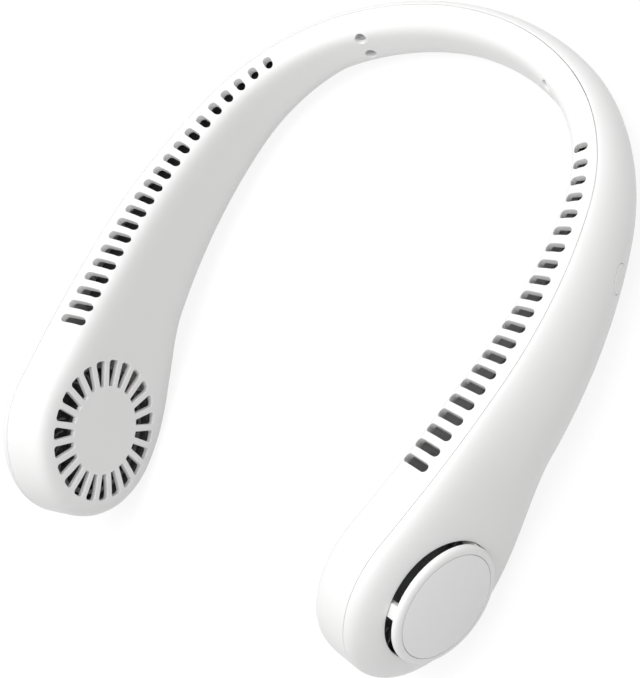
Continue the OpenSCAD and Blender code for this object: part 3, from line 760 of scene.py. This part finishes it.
# Button
def button_loops():
    """Loops from the middle of the button's face over its rounded edge to its flange."""
    shape = pill(BUTTON_LENGTH, BUTTON_WIDTH)

    def loop(grow, sink):
        start = [button.origin + button.back * p.x + button.up * p.y
                 for p in outline(shape, grow, ROUND_TURNS)]
        return [body_skin.hit(p, -button.out) - button.out * sink for p in start]

    loops = [loop(-BUTTON_WIDTH * share, -BUTTON_PROUD) for share in BUTTON_FACE_SHARES]
    for t in [math.radians(a) for a in BUTTON_ANGLES]:
        loops.append(loop(-BUTTON_EDGE * (1 - math.sin(t)),
                          BUTTON_EDGE * (1 - math.cos(t)) - BUTTON_PROUD))
    for reach, height in ((0, FLANGE_THICKNESS), (FLANGE_REACH, FLANGE_THICKNESS),
                          (FLANGE_REACH, 0)):
        loops.append([button.point(BUTTON_FOOT + height, p.x, p.y)
                      for p in outline(shape, reach, ROUND_TURNS)])
    return loops


power_button = sharpen(lofted("power_button_cap", [button_loops()]))
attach(power_button, "button")
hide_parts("power_button")
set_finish(power_button, "shell_white")


# Scales of the noise in the materials, per metre, and the ranges that it is mapped from
NOISE_RANGE = (0.3, 0.7)
RAMP_RANGE = (0.35, 0.65)
DRIFT_SCALE = 28
MOULDED_ROUGH_SCALE = 900
MOULDED_GRAIN_SCALE = 6500
METAL_TINT_SCALE = 300
METAL_ROUGH_SCALE = 1200
METAL_GRAIN_SCALE = 4000

# How far colour and roughness drift, and the depth of the grain
MOULDED_TINT = 0.012
TINT_FLOOR = 0.3
METAL_TINT = 0.9
MOULDED_ROUGH_DRIFT = (0.03, 0.04)
METAL_ROUGH_DRIFT = (0.06, 0.08)
FINE_GRAIN = 0.004 * mm
GRAIN_STRENGTH = 0.5


# Materials
def node(tree, kind, **values):
    """A shader node, its sockets and settings given by name."""
    made = tree.nodes.new("ShaderNode" + kind)
    for key, value in values.items():
        if key in made.inputs:
            made.inputs[key].default_value = value
        else:
            setattr(made, key, value)
    return made


class Finish:
    """A material whose colour, roughness and relief come from noise in the object's own space."""

    def __init__(self, name, **sockets):
        self.material = bpy.data.materials.new(name)
        self.material.use_nodes = True
        self.tree = self.material.node_tree
        self.shader = self.tree.nodes["Principled BSDF"]
        for key, value in sockets.items():
            self.shader.inputs[key].default_value = value
        self.place = node(self.tree, "TexCoord").outputs["Object"]

    def link(self, a, b):
        self.tree.links.new(a, b)

    def noise(self, scale, detail, stretch=None):
        source = self.place
        if stretch:
            mapping = node(self.tree, "Mapping", Scale=stretch)
            self.link(source, mapping.inputs["Vector"])
            source = mapping.outputs["Vector"]
        made = node(self.tree, "TexNoise", Scale=scale, Detail=detail)
        self.link(source, made.inputs["Vector"])
        return made.outputs["Fac"]

    def spread(self, source, low, high):
        """Maps a noise to a range of values."""
        made = node(self.tree, "MapRange")
        made.inputs["From Min"].default_value = NOISE_RANGE[0]
        made.inputs["From Max"].default_value = NOISE_RANGE[1]
        made.inputs["To Min"].default_value = low
        made.inputs["To Max"].default_value = high
        self.link(source, made.inputs["Value"])
        return made.outputs["Result"]

    def colours(self, source, low, high):
        """Mixes two colours by a noise."""
        made = node(self.tree, "ValToRGB")
        made.color_ramp.elements[0].position = RAMP_RANGE[0]
        made.color_ramp.elements[1].position = RAMP_RANGE[1]
        made.color_ramp.elements[0].color = (*low, 1)
        made.color_ramp.elements[1].color = (*high, 1)
        self.link(source, made.inputs["Fac"])
        self.link(made.outputs["Color"], self.shader.inputs["Base Color"])
        return self

    def roughness(self, source, low, high):
        self.link(self.spread(source, low, high), self.shader.inputs["Roughness"])
        return self

    def relief(self, source, height):
        made = node(self.tree, "Bump", Strength=GRAIN_STRENGTH, Distance=height)
        self.link(source, made.inputs["Height"])
        self.link(made.outputs["Normal"], self.shader.inputs["Normal"])
        return self


def moulded(name, colour, rough, grain=FINE_GRAIN, tint=MOULDED_TINT):
    """Moulded plastic: a fine spark-eroded grain, and a colour that drifts a little."""
    made = Finish(name)
    low = [max(0.0, c - tint * (TINT_FLOOR + c)) for c in colour]
    less, more = MOULDED_ROUGH_DRIFT
    made.colours(made.noise(DRIFT_SCALE, 3), low, colour)
    made.roughness(made.noise(MOULDED_ROUGH_SCALE, 3), rough - less, rough + more)
    return made.relief(made.noise(MOULDED_GRAIN_SCALE, 2), grain).material


def metal(name, colour, rough, stretch=(1, 1, 1), grain=FINE_GRAIN):
    """Metal with marks from rolling or turning."""
    made = Finish(name, Metallic=1.0)
    low = [c * METAL_TINT for c in colour]
    less, more = METAL_ROUGH_DRIFT
    made.colours(made.noise(METAL_TINT_SCALE, 4), low, colour)
    made.roughness(made.noise(METAL_ROUGH_SCALE, 4, stretch), rough - less, rough + more)
    return made.relief(made.noise(METAL_GRAIN_SCALE, 3, stretch), grain).material


FINISHES = {
    "shell_white": moulded("shell_white", (0.9, 0.9, 0.895), 0.38),
    "plate_grey": moulded("plate_grey", (0.93, 0.93, 0.93), 0.42),
    # Impeller and scroll are white plastic, painted dark grey here as painted shade for the dark inside of the
    # lobe seen through the grille
    "blower_grey": moulded("blower_grey", (0.16, 0.16, 0.165), 0.45),
    "duct_grey": moulded("duct_grey", (0.15, 0.15, 0.155), 0.55),
    "rotor_steel": metal("rotor_steel", (0.55, 0.56, 0.58), 0.32),
    "ferrite": moulded("ferrite", (0.04, 0.04, 0.045), 0.6, 0.01 * mm),
    "shaft_steel": metal("shaft_steel", (0.66, 0.67, 0.69), 0.2, (8, 1, 1)),
    "base_metal": metal("base_metal", (0.6, 0.61, 0.63), 0.35),
    "stator_steel": metal("stator_steel", (0.4, 0.41, 0.43), 0.45, (10, 1, 1), 0.02 * mm),
    "copper": metal("copper", (0.72, 0.34, 0.17), 0.3, (12, 1, 1), 0.03 * mm),
    "board_green": moulded("board_green", (0.03, 0.16, 0.06), 0.3, 0.006 * mm, 0.05),
    "cell_wrap": moulded("cell_wrap", (0.05, 0.16, 0.42), 0.3, 0.004 * mm, 0.03),
    "socket_metal": metal("socket_metal", (0.6, 0.61, 0.63), 0.28),
    "black_plastic": moulded("black_plastic", (0.03, 0.03, 0.033), 0.45),
    "white_plastic": moulded("white_plastic", (0.8, 0.8, 0.79), 0.35),
    "lamp_lens": moulded("lamp_lens", (0.75, 0.8, 0.88), 0.15),
    "screw_steel": metal("screw_steel", (0.5, 0.51, 0.53), 0.35),
    "wire_red": moulded("wire_red", (0.45, 0.03, 0.02), 0.5),
}


def dress(piece, slot):
    """Gives a piece the finish of its material slot, in place of any other."""
    piece.data.materials.clear()
    piece.data.materials.append(FINISHES[slot])


node_slots = {row["node"]: row["material_slot"] for row in frame["record"]["subparts"]}
for name, piece in frame["nodes"].items():
    dress(piece, node_slots[name])
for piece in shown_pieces():
    if "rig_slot" in piece:
        dress(piece, piece["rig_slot"])


# Floor, light and camera
FLOOR_SIZE = 12
FLOOR_BELOW = 0.3 * mm
FLOOR_PALE = 0.56
FLOOR_SHADOW = 0.18
FLOOR_GLOW = 0.86
WORLD_LIGHT = 0.5
CAMERA_PLACE = (448.95 * mm, -58.88 * mm, 581.5 * mm)
CAMERA_TURN = (20.46, 33.943, 28.651)
SENSOR = 36
FOCAL_LENGTH = 115.3
CLIP_START = 10 * mm

# Place, target, size and watts of each lamp
KEY_LAMP = ((0.02, 0.1, 1.5), (0, 0, 0.03), 1.4, 18)
FILL_LAMP = ((0.75, -0.6, 0.45), (0, -0.08, 0.03), 0.6, 0.45)


def grey(level):
    return (level, level, level, 1)


def camera_rays(tree):
    """1 for what the camera sees, also through or in glass and metal."""
    path = node(tree, "LightPath")
    add = node(tree, "Math", operation="ADD", use_clamp=True)
    more = node(tree, "Math", operation="ADD", use_clamp=True)
    tree.links.new(path.outputs["Is Camera Ray"], add.inputs[0])
    tree.links.new(path.outputs["Is Glossy Ray"], add.inputs[1])
    tree.links.new(add.outputs[0], more.inputs[0])
    tree.links.new(path.outputs["Is Transmission Ray"], more.inputs[1])
    return more.outputs[0]


def make_floor():
    """A pale plane that shows white to the camera and keeps a light shadow."""
    half = FLOOR_SIZE / 2
    verts = [(-half, -half, -FLOOR_BELOW), (half, -half, -FLOOR_BELOW),
             (half, half, -FLOOR_BELOW), (-half, half, -FLOOR_BELOW)]
    mesh = bpy.data.meshes.new("floor")
    mesh.from_pydata(verts, [], [(0, 1, 2, 3)])
    floor = bpy.data.objects.new("floor", mesh)
    bpy.context.scene.collection.objects.link(floor)
    material = bpy.data.materials.new("floor")
    material.use_nodes = True
    tree = material.node_tree
    tree.nodes.remove(tree.nodes["Principled BSDF"])
    pale = node(tree, "BsdfDiffuse", Color=grey(FLOOR_PALE))
    shadow = node(tree, "BsdfDiffuse", Color=grey(FLOOR_SHADOW))
    glow = node(tree, "Emission", Color=grey(1), Strength=FLOOR_GLOW)
    seen = node(tree, "AddShader")
    pick = node(tree, "MixShader")
    tree.links.new(shadow.outputs[0], seen.inputs[0])
    tree.links.new(glow.outputs[0], seen.inputs[1])
    tree.links.new(camera_rays(tree), pick.inputs[0])
    tree.links.new(pale.outputs[0], pick.inputs[1])
    tree.links.new(seen.outputs[0], pick.inputs[2])
    tree.links.new(pick.outputs[0], tree.nodes["Material Output"].inputs["Surface"])
    mesh.materials.append(material)


def make_world():
    """Soft light from all sides, and white where the camera sees past the floor."""
    world = bpy.data.worlds.new("studio")
    bpy.context.scene.world = world
    world.use_nodes = True
    tree = world.node_tree
    soft = tree.nodes["Background"]
    soft.inputs["Color"].default_value = grey(1)
    soft.inputs["Strength"].default_value = WORLD_LIGHT
    white = node(tree, "Background", Color=grey(1), Strength=1.0)
    pick = node(tree, "MixShader")
    tree.links.new(camera_rays(tree), pick.inputs[0])
    tree.links.new(soft.outputs[0], pick.inputs[1])
    tree.links.new(white.outputs[0], pick.inputs[2])
    tree.links.new(pick.outputs[0], tree.nodes["World Output"].inputs["Surface"])


def make_lamp(name, place, target, size, watts):
    """A round soft lamp, turned to its target."""
    lamp = bpy.data.lights.new(name, "AREA")
    lamp.shape = "DISK"
    lamp.size = size
    lamp.energy = watts
    holder = bpy.data.objects.new(name, lamp)
    bpy.context.scene.collection.objects.link(holder)
    holder.location = place
    holder.rotation_euler = (Vector(target) - Vector(place)).to_track_quat("-Z", "Y").to_euler()


def make_camera():
    """The photograph's view."""
    lens = bpy.data.cameras.new("camera")
    lens.sensor_fit = "HORIZONTAL"
    lens.sensor_width = SENSOR
    lens.lens = FOCAL_LENGTH
    lens.clip_start = CLIP_START
    holder = bpy.data.objects.new("camera", lens)
    bpy.context.scene.collection.objects.link(holder)
    holder.location = CAMERA_PLACE
    holder.rotation_euler = [math.radians(a) for a in CAMERA_TURN]
    bpy.context.scene.camera = holder


make_floor()
make_world()
make_lamp("key", *KEY_LAMP)
make_lamp("fill", *FILL_LAMP)
make_camera()
bpy.context.scene.view_settings.view_transform = "Standard"
